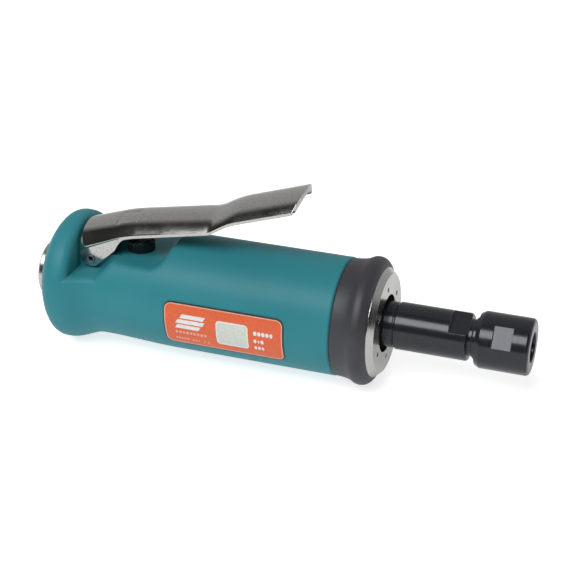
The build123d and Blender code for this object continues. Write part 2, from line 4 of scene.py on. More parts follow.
import bmesh
import bpy
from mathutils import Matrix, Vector


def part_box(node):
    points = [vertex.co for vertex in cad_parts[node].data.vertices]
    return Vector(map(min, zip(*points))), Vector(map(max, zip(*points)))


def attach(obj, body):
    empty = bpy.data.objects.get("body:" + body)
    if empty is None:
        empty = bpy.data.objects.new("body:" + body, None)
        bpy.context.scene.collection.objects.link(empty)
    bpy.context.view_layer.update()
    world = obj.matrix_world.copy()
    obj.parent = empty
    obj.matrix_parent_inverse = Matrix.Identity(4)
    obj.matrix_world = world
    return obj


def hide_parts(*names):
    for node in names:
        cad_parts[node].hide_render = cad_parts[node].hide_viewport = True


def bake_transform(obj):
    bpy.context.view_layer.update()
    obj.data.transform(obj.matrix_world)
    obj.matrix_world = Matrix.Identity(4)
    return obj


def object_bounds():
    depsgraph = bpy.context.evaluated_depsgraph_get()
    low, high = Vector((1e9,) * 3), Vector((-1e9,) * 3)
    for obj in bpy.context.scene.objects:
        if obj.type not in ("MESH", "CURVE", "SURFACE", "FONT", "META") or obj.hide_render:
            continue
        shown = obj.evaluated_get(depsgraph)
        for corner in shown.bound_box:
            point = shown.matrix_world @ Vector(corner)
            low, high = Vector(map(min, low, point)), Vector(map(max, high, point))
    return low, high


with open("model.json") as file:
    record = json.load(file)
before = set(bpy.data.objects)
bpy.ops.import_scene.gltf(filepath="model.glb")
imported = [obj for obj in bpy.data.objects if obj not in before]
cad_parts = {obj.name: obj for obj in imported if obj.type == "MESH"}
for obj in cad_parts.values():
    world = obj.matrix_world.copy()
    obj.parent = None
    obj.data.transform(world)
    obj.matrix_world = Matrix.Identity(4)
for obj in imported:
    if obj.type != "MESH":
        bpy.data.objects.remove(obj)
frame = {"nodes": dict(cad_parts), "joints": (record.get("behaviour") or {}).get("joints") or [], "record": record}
cad_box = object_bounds()

MM = 0.001

# ---- view: camera bearing, height above the horizon and distance from the aim point ----
VIEW_AZIMUTH = 19.5
VIEW_ELEVATION = 27.4
VIEW_DISTANCE = 0.520
AIM = Vector((-0.0860, 0.0110, 0.0011))
LENS = 93.75
SENSOR = 36.0

# ---- colours, linear ----
TEAL = (0.039, 0.262, 0.300, 1)
TEAL_DEEP = (0.032, 0.232, 0.270, 1)
COLLAR = (0.040, 0.039, 0.047, 1)
STEEL = (0.62, 0.61, 0.59, 1)
NICKEL = (0.58, 0.57, 0.545, 1)
OXIDE = (0.022, 0.024, 0.029, 1)
ORANGE = (0.85, 0.130, 0.030, 1)
LABEL_WHITE = (0.90, 0.89, 0.88, 1)
BRASS = (0.70, 0.50, 0.20, 1)
IRON = (0.30, 0.30, 0.31, 1)
RUBBER = (0.018, 0.018, 0.020, 1)
PHENOLIC = (0.22, 0.11, 0.045, 1)
FELT = (0.32, 0.30, 0.27, 1)
FLOOR = (0.86, 0.86, 0.86, 1)
LABEL_PALE = (0.88, 0.46, 0.36, 1)
LABEL_WINDOW = (0.72, 0.76, 0.68, 1)
# Dark film painted as the shadow round the label's edge.
LABEL_SHADOW_PAINT = (0.030, 0.035, 0.040, 1)

# ---- brightness of the paper floor, as light and as the camera sees it, and of the room ----
FLOOR_GLOW = 0.30
FLOOR_GLOW_SEEN = 0.72
FLOOR_HALF = 3.0
FLOOR_GAP = 0.2 * MM
ROOM_FRONT = 0.035
ROOM_BACK = 0.48
# Y parts of a direction between which the room turns from its dark front to its bright back.
ROOM_FADE = (-0.12, 0.16)
# Shade of the room by a direction's Z part, from the horizon to overhead.
ROOM_SHADES = ((0.0, 1.0), (0.5, 0.9), (1.0, 0.70))

# ---- the one softbox: bearing, height, distance, size, power and colour ----
KEY_AZIMUTH = -15
KEY_ELEVATION = 49
KEY_DISTANCE = 1.1
KEY_SIZE = (0.90, 0.56)
KEY_POWER = 9.6
KEY_COLOUR = (0.95, 0.98, 1.0)


# ------------------------------------------------------------------ material tools

class Recipe:
    """A node tree for one material, with short calls for the nodes it uses."""

    def __init__(self, name):
        self.material = bpy.data.materials.new(name)
        self.material.use_nodes = True
        self.tree = self.material.node_tree
        self.surface = self.tree.nodes["Principled BSDF"]
        self.place = self.add("ShaderNodeTexCoord").outputs["Object"]

    def add(self, kind, **settings):
        node = self.tree.nodes.new(kind)
        for key, value in settings.items():
            setattr(node, key, value)
        return node

    def link(self, source, target):
        self.tree.links.new(source, target)

    def set(self, **values):
        for key, value in values.items():
            self.surface.inputs[key.replace("_", " ")].default_value = value

    def stretched(self, scale):
        mapping = self.add("ShaderNodeMapping")
        mapping.inputs["Scale"].default_value = scale
        self.link(self.place, mapping.inputs["Vector"])
        return mapping.outputs["Vector"]

    def noise(self, scale, detail=4.0, rough=0.55, place=None):
        node = self.add("ShaderNodeTexNoise")
        node.inputs["Scale"].default_value = scale
        node.inputs["Detail"].default_value = detail
        node.inputs["Roughness"].default_value = rough
        self.link(place or self.place, node.inputs["Vector"])
        return node.outputs["Fac"]

    def ramp(self, factor, *stops):
        node = self.add("ShaderNodeValToRGB")
        points = node.color_ramp.elements
        while len(points) < len(stops):
            points.new(0.5)
        for point, (at, colour) in zip(points, stops):
            point.position = at
            point.color = colour if isinstance(colour, tuple) else grey(colour)
        self.link(factor, node.inputs["Fac"])
        return node.outputs["Color"]

    def mix(self, factor, first, second):
        node = self.add("ShaderNodeMix", data_type="RGBA")
        sockets = (node.inputs[0], node.inputs[6], node.inputs[7])
        for socket, value in zip(sockets, (factor, first, second)):
            if isinstance(value, (tuple, float, int)):
                socket.default_value = value
            else:
                self.link(value, socket)
        return node.outputs[2]

    def bump(self, height, strength, distance, normal=None):
        node = self.add("ShaderNodeBump")
        node.inputs["Strength"].default_value = strength
        node.inputs["Distance"].default_value = distance
        self.link(height, node.inputs["Height"])
        if normal is not None:
            self.link(normal, node.inputs["Normal"])
        return node.outputs["Normal"]

    def soft_edges(self, radius):
        node = self.add("ShaderNodeBevel", samples=6)
        node.inputs["Radius"].default_value = radius
        return node.outputs["Normal"]

    def edge_mask(self, radius, low, high):
        """White where the surface turns within the radius: the edges that take wear, and on the pin a painted
        highlight.
        """
        soft = self.soft_edges(radius)
        true_normal = self.add("ShaderNodeNewGeometry").outputs["Normal"]
        dot = self.add("ShaderNodeVectorMath", operation="DOT_PRODUCT")
        self.link(soft, dot.inputs[0])
        self.link(true_normal, dot.inputs[1])
        return self.ramp(dot.outputs["Value"], (low, 1.0), (high, 0.0))

    def colour(self, socket):
        self.link(socket, self.surface.inputs["Base Color"])

    def roughness(self, socket):
        self.link(socket, self.surface.inputs["Roughness"])

    def normal(self, socket):
        self.link(socket, self.surface.inputs["Normal"])


def grey(level):
    return (level, level, level, 1)


def tone(colour, factor):
    return (colour[0] * factor, colour[1] * factor, colour[2] * factor, 1)


# ------------------------------------------------------------------ materials

def teal_casing():
    """Moulded composite: a fine grain over very shallow dimples, with soft edges."""
    m = Recipe("teal_casing")
    cloud = m.noise(scale=28, detail=3)
    m.colour(m.mix(m.ramp(cloud, (0.35, 0.0), (0.65, 1.0)), TEAL, TEAL_DEEP))
    grain = m.noise(scale=2600, detail=3, rough=0.6)
    dimple = m.noise(scale=420, detail=2, rough=0.5)
    m.roughness(m.ramp(grain, (0.3, 0.42), (0.7, 0.52)))
    m.set(Coat_Weight=0.05, Coat_Roughness=0.25, Specular_IOR_Level=0.20)
    fine = m.bump(grain, 0.08, 0.06 * MM, m.soft_edges(0.8 * MM))
    m.normal(m.bump(dimple, 0.05, 0.1 * MM, fine))
    return m.material


def collar_rubber():
    """Soft black rubber, matt where it was wiped and a little shiny between."""
    m = Recipe("collar_rubber")
    cloud = m.noise(scale=60, detail=4)
    m.colour(m.mix(m.ramp(cloud, (0.35, 0.0), (0.7, 1.0)), COLLAR, tone(COLLAR, 1.35)))
    grain = m.noise(scale=3800, detail=2, rough=0.6)
    wipe = m.noise(scale=140, detail=4, rough=0.65, place=m.stretched((1.0, 0.4, 0.4)))
    m.roughness(m.mix(wipe, m.ramp(grain, (0.3, 0.32), (0.7, 0.46)), grey(0.56)))
    m.normal(m.bump(grain, 0.12, 0.05 * MM, m.soft_edges(0.3 * MM)))
    return m.material


def satin_steel():
    """Turned steel with lathe lines round the barrel's axis."""
    m = Recipe("satin_steel")
    lathe = m.noise(scale=900, detail=4, rough=0.7, place=m.stretched((1.0, 0.08, 0.08)))
    cloud = m.noise(scale=220, detail=3)
    m.colour(m.mix(cloud, STEEL, tone(STEEL, 0.80)))
    m.roughness(m.ramp(lathe, (0.3, 0.16), (0.7, 0.30)))
    m.set(Metallic=1.0, Anisotropic=0.4)
    m.normal(m.bump(lathe, 0.08, 0.04 * MM, m.soft_edges(0.25 * MM)))
    return m.material


def nickel_plate():
    """Bright plate over drawn sheet: fine pits, faint draw lines, a few dull patches."""
    m = Recipe("nickel_plate")
    pits = m.noise(scale=1700, detail=5, rough=0.75)
    drawn = m.noise(scale=420, detail=3, rough=0.6, place=m.stretched((0.12, 1.0, 1.0)))
    patch = m.noise(scale=90, detail=4, rough=0.6)
    m.colour(m.mix(m.ramp(pits, (0.50, 0.0), (0.66, 1.0)), NICKEL, tone(NICKEL, 0.70)))
    polish = m.ramp(pits, (0.35, 0.05), (0.70, 0.20))
    m.roughness(m.mix(m.ramp(patch, (0.45, 0.0), (0.70, 0.5)), polish, grey(0.24)))
    m.set(Metallic=1.0)
    fine = m.bump(pits, 0.10, 0.03 * MM, m.soft_edges(0.18 * MM))
    m.normal(m.bump(drawn, 0.06, 0.06 * MM, fine))
    return m.material


def black_oxide(name, colour, wear_and_highlight_tone):
    """Blackened steel with faint lathe lines; its edges are worn to a tone of bare steel, which on the pin is a
    painted highlight.
    """
    m = Recipe(name)
    grain = m.noise(scale=1800, detail=4, rough=0.65)
    turned = m.noise(scale=1500, detail=3, rough=0.6, place=m.stretched((1.0, 0.03, 0.03)))
    wear_and_highlight = m.edge_mask(0.3 * MM, 0.80, 0.97)
    skin = m.mix(m.ramp(grain, (0.45, 0.0), (0.75, 1.0)), colour, tone(colour, 1.5))
    m.colour(m.mix(wear_and_highlight, skin, tone(STEEL, wear_and_highlight_tone)))
    m.roughness(m.ramp(turned, (0.3, 0.17), (0.7, 0.24)))
    m.set(Metallic=0.35, Specular_IOR_Level=0.62)
    m.normal(m.bump(turned, 0.018, 0.03 * MM, m.soft_edges(0.28 * MM)))
    return m.material


def printed_film(name, colour):
    """Ink on a thin glossy film; the same film in dark makes the painted shadow round the label."""
    m = Recipe(name)
    print_grain = m.noise(scale=1200, detail=4, rough=0.6)
    m.colour(m.mix(m.ramp(print_grain, (0.35, 0.0), (0.7, 1.0)), colour, tone(colour, 0.86)))
    m.roughness(m.ramp(print_grain, (0.3, 0.34), (0.7, 0.44)))
    m.set(Coat_Weight=0.22, Coat_Roughness=0.18)
    m.normal(m.bump(print_grain, 0.05, 0.03 * MM))
    return m.material


def plain_metal(name, colour, rough):
    """Bare metal of the inner parts, from ground to cast by its roughness."""
    m = Recipe(name)
    turned = m.noise(scale=1100, detail=3, rough=0.6, place=m.stretched((1.0, 0.06, 0.06)))
    m.colour(m.mix(m.noise(scale=300, detail=3), colour, tone(colour, 0.75)))
    m.roughness(m.ramp(turned, (0.3, rough), (0.7, rough + 0.14)))
    m.set(Metallic=1.0)
    m.normal(m.bump(turned, 0.10, 0.04 * MM))
    return m.material


def plain_soft(name, colour, rough, grain_scale):
    """Rubber, felt or bonded fibre, told apart by colour, roughness and grain."""
    m = Recipe(name)
    grain = m.noise(scale=grain_scale, detail=4, rough=0.7)
    m.colour(m.mix(grain, colour, tone(colour, 0.6)))
    m.roughness(m.ramp(grain, (0.3, rough), (0.7, min(1.0, rough + 0.15))))
    m.normal(m.bump(grain, 0.3, 0.1 * MM))
    return m.material


def make_materials():
    return {
        "teal_casing": teal_casing(),
        "collar_rubber": collar_rubber(),
        "satin_steel": satin_steel(),
        "nickel_lever": nickel_plate(),
        "black_oxide": black_oxide("black_oxide", OXIDE, wear_and_highlight_tone=0.36),
        # The knob is painted at half the oxide's tone with barely lighter edges: its own black, darkened further
        # as painted shade from the lever above it.
        "knob_black": black_oxide("knob_black", tone(OXIDE, 0.5), wear_and_highlight_tone=0.06),
        "orange_label": printed_film("orange_label", ORANGE),
        "bearing_steel": plain_metal("bearing_steel", STEEL, rough=0.18),
        "motor_iron": plain_metal("motor_iron", IRON, rough=0.35),
        "brass": plain_metal("brass", BRASS, rough=0.25),
        "blade_composite": plain_soft("blade_composite", PHENOLIC, rough=0.5, grain_scale=900),
        "seal_rubber": plain_soft("seal_rubber", RUBBER, rough=0.5, grain_scale=1500),
        "felt": plain_soft("felt", FELT, rough=0.85, grain_scale=2600),
    }


def paint_cad_nodes(materials):
    for entry in frame["record"]["subparts"]:
        node = frame["nodes"][entry["node"]]
        node.data.materials.clear()
        node.data.materials.append(materials[entry["material_slot"]])
    # The spring pin is blackened like the spindle but painted four times lighter, and its rolled ends are painted
    # at the full tone of bare steel: a painted highlight on the pin.
    pin = frame["nodes"]["lever_pin"].data
    pin.materials[0] = black_oxide("pin_steel_painted_highlight", tone(OXIDE, 4.0), wear_and_highlight_tone=1.0)


# ------------------------------------------------------------------ mesh tools

def new_object(name, bm, material=None):
    mesh = bpy.data.meshes.new(name)
    bm.to_mesh(mesh)
    bm.free()
    made = bpy.data.objects.new(name, mesh)
    bpy.context.scene.collection.objects.link(made)
    if material:
        mesh.materials.append(material)
    return made


def shade_smooth(mesh, sharp_degrees):
    """Smooth shading that keeps the edges sharper than the angle crisp."""
    for face in mesh.polygons:
        face.use_smooth = True
    mesh.set_sharp_from_angle(angle=math.radians(sharp_degrees))


def settle(piece, sharp_degrees):
    """Applies the piece's modifiers and shades the result."""
    graph = bpy.context.evaluated_depsgraph_get()
    solid = bpy.data.meshes.new_from_object(piece.evaluated_get(graph))
    piece.modifiers.clear()
    piece.data = solid
    shade_smooth(solid, sharp_degrees)


# ------------------------------------------------------------------ throttle lever

# Lever sizes are millimetres forward and up from a point beside the pin.
LEVER_FROM_PIN = (-0.2, 0.8)
PIN_HOLE_R = 1.45
CROWN_START = (-7.1, 8.8)
CROWN_SLOPE = 0.3289
# Bends: distance forward of the pin, change of slope, softness at the crown and at the edges.
BENDS = (
    (11.6, -0.1399, 4.0, 2.4),
    (44.4, 0.4025, 3.2, 0.4),
    (51.5, -0.2629, 4.2, 2.2),
)
# Rise of the arch above its edges: distance forward, rise.
ARCH_RISE = (
    (-7.1, 7.75), (-4.1, 7.44), (10.4, 6.0), (16.9, 5.5), (44.4, 5.1), (51.5, 4.9), (80.0, 4.9),
)
HALF_WIDTH = 9.9
SHEET = 1.8
SHEET_EDGE_R = 0.28
SHARP_DEGREES = 35
# The lugs are a little thinner than the arch and lie inside its edges by the inset. It starts just
# below the crease and is full a little further down, and it fades away where a lug runs out.
LUG_SHEET_SHARE = 0.86
LUG_INSET = 0.30
LUG_INSET_START = 0.05
LUG_INSET_OVER = 0.6
LUG_INSET_FADE = 2.0
# Height of the upright rim below the arch's edges.
HEM = 1.05
# The tip's middle stands ahead of its corners by the lead, and its edge bevel needs the trim.
TIP_LEAD = 1.9
TIP_TRIM = 0.5
# Mesh steps along the lever, across the arch and down each lug, with the lug's finer near its crease.
COLUMNS = 320
ARCH_ROWS = 44
LUG_ROWS = 26
LUG_ROW_POWER = 1.6
# Lower edge of a lug, then the line where it runs out into the arch's edge.
LUG_EDGE = (
    (-4.0, -0.7), (-3.4, -2.2), (-2.1, -3.35), (0.0, -3.9), (1.9, -3.4), (3.3, -2.1),
    (9.4, 3.6), (10.6, 5.9), (11.9, 7.5), (14.2, 9.1), (16.3, 10.0), (17.0, 40.0), (99.0, 40.0),
)
# Shallow pressed rectangle beside the crown.
STAMP_MIDDLE = (12.8, -3.0)
STAMP_HALF = (4.0, 3.1)
STAMP_DEPTH = 0.40
STAMP_SOFT = 0.45


def soft_ramp(distance, half_width):
    """Zero before a bend, equal to the distance after it, and rounded between."""
    if distance <= -half_width:
        return 0.0
    if distance >= half_width:
        return distance
    return (distance + half_width) ** 2 / (4 * half_width)


def on_line(points, at):
    """Height of a broken line at a distance."""
    for (x0, z0), (x1, z1) in zip(points[:-1], points[1:]):
        if at <= x1:
            return z0 + (z1 - z0) * (at - x0) / (x1 - x0)
    return points[-1][1]


def soft_step(value):
    value = min(max(value, 0.0), 1.0)
    return value * value * (3 - 2 * value)


def crown_height(forward, edge_share):
    height = CROWN_START[1] + CROWN_SLOPE * (forward - CROWN_START[0])
    for at, turn, at_crown, at_edge in BENDS:
        softness = at_crown + (at_edge - at_crown) * edge_share
        height += turn * soft_ramp(forward - at, softness)
    return height


def stamp_depth(forward, side):
    """Depth of the pressed rectangle at a place on the arch."""
    along = soft_step((STAMP_HALF[0] - abs(forward - STAMP_MIDDLE[0])) / STAMP_SOFT)
    across = soft_step((STAMP_HALF[1] - abs(side - STAMP_MIDDLE[1])) / STAMP_SOFT)
    return STAMP_DEPTH * along * across


def arch_point(forward, share):
    """A point of the arch's outer face; share runs from -1 at one edge to 1 at the other."""
    rise = on_line(ARCH_RISE, forward)
    radius = (HALF_WIDTH ** 2 + rise ** 2) / (2 * rise)
    turn = math.asin(HALF_WIDTH / radius) * share
    side = radius * math.sin(turn)
    up = crown_height(forward, abs(share)) - radius * (1 - math.cos(turn))
    return side, up - stamp_depth(forward, side)


def make_lever_skin(bm, base, rear, tip):
    """Outer face of the arch and of both lugs; returns the lugs' vertices."""

    def vertex(forward, side, up):
        return bm.verts.new((base.x + forward * MM, side * MM, base.z + up * MM))

    grid = []
    for column in range(COLUMNS + 1):
        line = []
        for row in range(ARCH_ROWS + 1):
            share = 2 * row / ARCH_ROWS - 1
            end = tip - TIP_LEAD * share ** 2
            forward = rear + (end - rear) * column / COLUMNS
            line.append(vertex(forward, *arch_point(forward, share)))
        grid.append(line)
    for first, second in zip(grid[:-1], grid[1:]):
        for row in range(ARCH_ROWS):
            bm.faces.new((first[row], first[row + 1], second[row + 1], second[row]))

    lug_verts = []
    for side_index in (0, ARCH_ROWS):
        before = None
        for line in grid:
            edge = line[side_index]
            forward = (edge.co.x - base.x) / MM
            edge_up = (edge.co.z - base.z) / MM
            strip = [edge]
            depth = max(HEM, edge_up - on_line(LUG_EDGE, forward))
            inset = LUG_INSET * soft_step((depth - HEM) / LUG_INSET_FADE)
            outward = math.copysign(1.0, edge.co.y)
            for row in range(1, LUG_ROWS + 1):
                drop = depth * (row / LUG_ROWS) ** LUG_ROW_POWER
                side = HALF_WIDTH - inset * soft_step((drop - LUG_INSET_START) / LUG_INSET_OVER)
                strip.append(vertex(forward, outward * side, edge_up - drop))
            if before:
                for row in range(LUG_ROWS):
                    bm.faces.new((before[row], before[row + 1], strip[row + 1], strip[row]))
            lug_verts += strip[1:]
            before = strip
    return lug_verts


def thicken(lever, on_lugs):
    """Gives the outer face the sheet's thickness, inwards."""
    group = lever.vertex_groups.new(name="sheet")
    on_arch = [i for i in range(len(lever.data.vertices)) if i not in on_lugs]
    group.add(on_arch, 1.0, "REPLACE")
    group.add(sorted(on_lugs), LUG_SHEET_SHARE, "REPLACE")
    solid = lever.modifiers.new("sheet", "SOLIDIFY")
    solid.thickness = SHEET * MM
    solid.offset = -1.0
    solid.use_even_offset = True
    solid.vertex_group = "sheet"


def make_pin_cutter(pin):
    bm = bmesh.new()
    radius = PIN_HOLE_R * MM
    bmesh.ops.create_cone(bm, cap_ends=True, segments=48, radius1=radius, radius2=radius, depth=30 * MM)
    cutter = new_object("pin_cutter", bm)
    cutter.rotation_euler = (math.pi / 2, 0, 0)
    cutter.location = pin
    cutter.hide_render = True
    bpy.context.view_layer.update()
    return cutter


def make_lever(material):
    pin = Vector(next(j for j in frame["joints"] if j["name"] == "lever_press")["pos_m"])
    base = pin + Vector((LEVER_FROM_PIN[0], 0, LEVER_FROM_PIN[1])) * MM
    low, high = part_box("throttle_lever")
    bm = bmesh.new()
    lug_verts = make_lever_skin(bm, base, (low.x - base.x) / MM, (high.x - base.x) / MM - TIP_TRIM)
    bmesh.ops.recalc_face_normals(bm, faces=bm.faces)
    crown = max(bm.faces, key=lambda face: face.calc_center_median().z)
    if crown.normal.z < 0:
        bmesh.ops.reverse_faces(bm, faces=bm.faces)
    bm.verts.index_update()
    on_lugs = {vert.index for vert in lug_verts}
    lever = new_object("lever_shell", bm, material)
    thicken(lever, on_lugs)

    cutter = make_pin_cutter(pin)
    hole = lever.modifiers.new("pin_hole", "BOOLEAN")
    hole.operation = "DIFFERENCE"
    hole.object = cutter
    settle(lever, SHARP_DEGREES)
    bpy.data.objects.remove(cutter)

    rim = lever.modifiers.new("rim", "BEVEL")
    rim.width = SHEET_EDGE_R * MM
    rim.segments = 3
    rim.angle_limit = math.radians(50)
    settle(lever, SHARP_DEGREES)

    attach(lever, "lever")
    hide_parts("throttle_lever")


# ------------------------------------------------------------------ valve spring

SPRING_WIRE_R = 0.3 * MM
SPRING_TURNS = 4
STEPS_PER_TURN = 40
WIRE_SIDES = 12


def make_valve_spring(material):
    """The coil behind the tip valve."""
    low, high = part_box("valve_spring")
    coil_r = high.y - SPRING_WIRE_R
    front, rear = high.x - SPRING_WIRE_R, low.x + SPRING_WIRE_R
    ahead = Vector((1, 0, 0))
    steps = SPRING_TURNS * STEPS_PER_TURN
    bm = bmesh.new()
    rings = []
    for step in range(steps + 1):
        turn = math.tau * step / STEPS_PER_TURN
        outward = Vector((0, math.sin(turn), math.cos(turn)))
        middle = outward * coil_r + ahead * (front + (rear - front) * step / steps)
        ring = []
        for side in range(WIRE_SIDES):
            a = math.tau * side / WIRE_SIDES
            spoke = outward * math.cos(a) + ahead * math.sin(a)
            ring.append(bm.verts.new(middle + spoke * SPRING_WIRE_R))
        rings.append(ring)
    for first, second in zip(rings[:-1], rings[1:]):
        for side in range(WIRE_SIDES):
            after = (side + 1) % WIRE_SIDES
            bm.faces.new((first[side], first[after], second[after], second[side]))
    bm.faces.new(rings[0])
    bm.faces.new(rings[-1])
    bmesh.ops.recalc_face_normals(bm, faces=bm.faces)
    spring = new_object("valve_coil", bm, material)
    settle(spring, SHARP_DEGREES)
    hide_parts("valve_spring")
    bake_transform(spring)


# ------------------------------------------------------------------ label printing and its painted shadow

# Millimetres. Outlines are (along the barrel, round the barrel) from their middle; places on the
# label are (forward, down) from its upper rear corner. Heights are above the label's face.
PRINT_HEIGHT = 0.05
BORDER_HEIGHT = 0.03
WINDOW_RIM_HEIGHT = 0.07
# Longest mesh steps along a line and round the barrel.
FINE_STEP = 0.4
STRIP = 0.5
# The painted shadow round the label is a dark film that stands outside it and partly in the casing.
SHADOW_LINE_CORNER = 2.8
SHADOW_LINE_WIDER = 0.45
SHADOW_LINE_SUNK = 0.24
SHADOW_LINE_HEIGHT = 0.2
SHADOW_LINE_WIDTH = 0.7
LABEL_CORNER = 2.3
BORDER_IN = 0.03
BORDER_LINE = 0.34
WINDOW_AT = (24.3, 8.5)
WINDOW_SIZE = (11.4, 9.6)
WINDOW_CORNER = 1.3
WINDOW_LINE = 0.45
MARK_AT = (9.3, 4.3)
MARK_BARS = (8.4, 9.8, 8.4)
MARK_PITCH = 2.0
MARK_BAR_HEIGHT = 1.5
MARK_SLANT = 0.9
DASH_CORNER = 0.2
PRINT_SHARP_DEGREES = 30
# Rows of dashes: place of the row's start, widths of its dashes, height and pitch.
SMALL_PRINT = (
    ((3.5, 10.8), (1.0, 1.1, 0.9, 1.1, 1.0, 1.1, 0.9, 1.1, 1.0), 1.05, 1.30),
    ((3.3, 13.7), (0.8, 0.7, 0.8, 0.7, 0.8), 0.85, 1.0),
    ((9.3, 13.9), (0.8, 0.7, 0.5), 0.85, 1.0),
    ((13.2, 14.0), (0.6, 0.6), 0.85, 1.4),
)
WORDS = (
    ((31.8, 6.1), (1.2, 1.1, 1.2, 1.1, 1.0), 1.5, 1.42),
    ((31.8, 9.2), (1.0, 0.45, 1.1), 1.5, 1.25),
    ((31.8, 12.1), (0.95, 1.1, 1.0), 1.35, 1.28),
)


def rounded_rectangle(length, height, corner, inset=0.0):
    half_x, half_y = length / 2 - inset, height / 2 - inset
    r = max(corner - inset, 0.05)
    points = []
    for quarter in range(4):
        cx = (half_x - r) * (1 if quarter in (0, 3) else -1)
        cy = (half_y - r) * (1 if quarter in (0, 1) else -1)
        for step in range(9):
            a = math.pi / 2 * (quarter + step / 8)
            points.append((cx + r * math.cos(a), cy + r * math.sin(a)))
    return points


def slanted_bar(length, height, slant):
    half_x, half_y, lean = length / 2, height / 2, slant / 2
    return [
        (half_x + lean, half_y), (-half_x + lean, half_y),
        (-half_x - lean, -half_y), (half_x - lean, -half_y),
    ]


class Film:
    """Thin film of one colour wrapped on the label: printing, and the dark line of painted shadow round it."""

    def __init__(self, radius, thickness):
        self.radius = radius
        self.thickness = thickness
        self.bm = bmesh.new()

    def wrap(self, middle, point, level):
        angle = (middle[1] + point[1]) / self.radius
        reach = self.radius + level
        along = (middle[0] + point[0]) * MM
        return self.bm.verts.new((along, -reach * math.cos(angle) * MM, reach * math.sin(angle) * MM))

    def patch(self, middle, outline):
        """Fills an outline with strips round the barrel: top, base and rim."""
        low = min(point[1] for point in outline)
        high = max(point[1] for point in outline)
        strips = max(2, int((high - low) / STRIP))
        top, base = [], []
        for n in range(strips + 1):
            level = low + (high - low) * n / strips
            level = min(max(level, low + 1e-4), high - 1e-4)
            crossings = []
            for (x0, y0), (x1, y1) in zip(outline, outline[1:] + outline[:1]):
                if (y0 - level) * (y1 - level) <= 0 and y0 != y1:
                    crossings.append(x0 + (x1 - x0) * (level - y0) / (y1 - y0))
            ends = ((min(crossings), level), (max(crossings), level))
            top.append([self.wrap(middle, end, self.thickness) for end in ends])
            base.append([self.wrap(middle, end, 0.0) for end in ends])
        new = self.bm.faces.new
        for n in range(strips):
            new((top[n][0], top[n][1], top[n + 1][1], top[n + 1][0]))
            new((base[n][0], base[n + 1][0], base[n + 1][1], base[n][1]))
            new((top[n][0], top[n + 1][0], base[n + 1][0], base[n][0]))
            new((top[n][1], base[n][1], base[n + 1][1], top[n + 1][1]))
        new((top[0][0], base[0][0], base[0][1], top[0][1]))
        new((top[-1][0], top[-1][1], base[-1][1], base[-1][0]))

    def frame(self, middle, length, height, corner, width):
        """A closed line of one width round a rounded rectangle."""
        outer = subdivided(rounded_rectangle(length, height, corner), FINE_STEP)
        inner = subdivided(rounded_rectangle(length, height, corner, width), FINE_STEP, len(outer))
        tops, bases = [
            [[self.wrap(middle, point, level) for point in loop] for loop in (outer, inner)]
            for level in (self.thickness, 0.0)
        ]
        new = self.bm.faces.new
        for i in range(len(outer)):
            j = (i + 1) % len(outer)
            new((tops[0][i], tops[0][j], tops[1][j], tops[1][i]))
            new((bases[0][i], bases[1][i], bases[1][j], bases[0][j]))
            new((tops[0][i], bases[0][i], bases[0][j], tops[0][j]))
            new((tops[1][i], tops[1][j], bases[1][j], bases[1][i]))

    def word(self, start, dashes, size, pitch):
        """A short row of plain dashes that stands for a printed word."""
        for index, width in enumerate(dashes):
            middle = (start[0] + pitch * (index + 0.5), start[1])
            self.patch(middle, rounded_rectangle(width, size, DASH_CORNER))

    def finish(self, name, material):
        bmesh.ops.recalc_face_normals(self.bm, faces=self.bm.faces)
        piece = new_object(name, self.bm, material)
        shade_smooth(piece.data, PRINT_SHARP_DEGREES)
        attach(piece, "casing")


def subdivided(points, step, count=None):
    """Points spread evenly along a closed outline."""
    closed = points + points[:1]
    lengths = [math.dist(a, b) for a, b in zip(closed[:-1], closed[1:])]
    total = sum(lengths)
    count = count or max(24, int(total / step))
    result = []
    index, passed = 0, 0.0
    for n in range(count):
        target = total * n / count
        while passed + lengths[index] < target:
            passed += lengths[index]
            index += 1
        share = (target - passed) / max(lengths[index], 1e-9)
        a, b = closed[index], closed[index + 1]
        result.append((a[0] + (b[0] - a[0]) * share, a[1] + (b[1] - a[1]) * share))
    return result


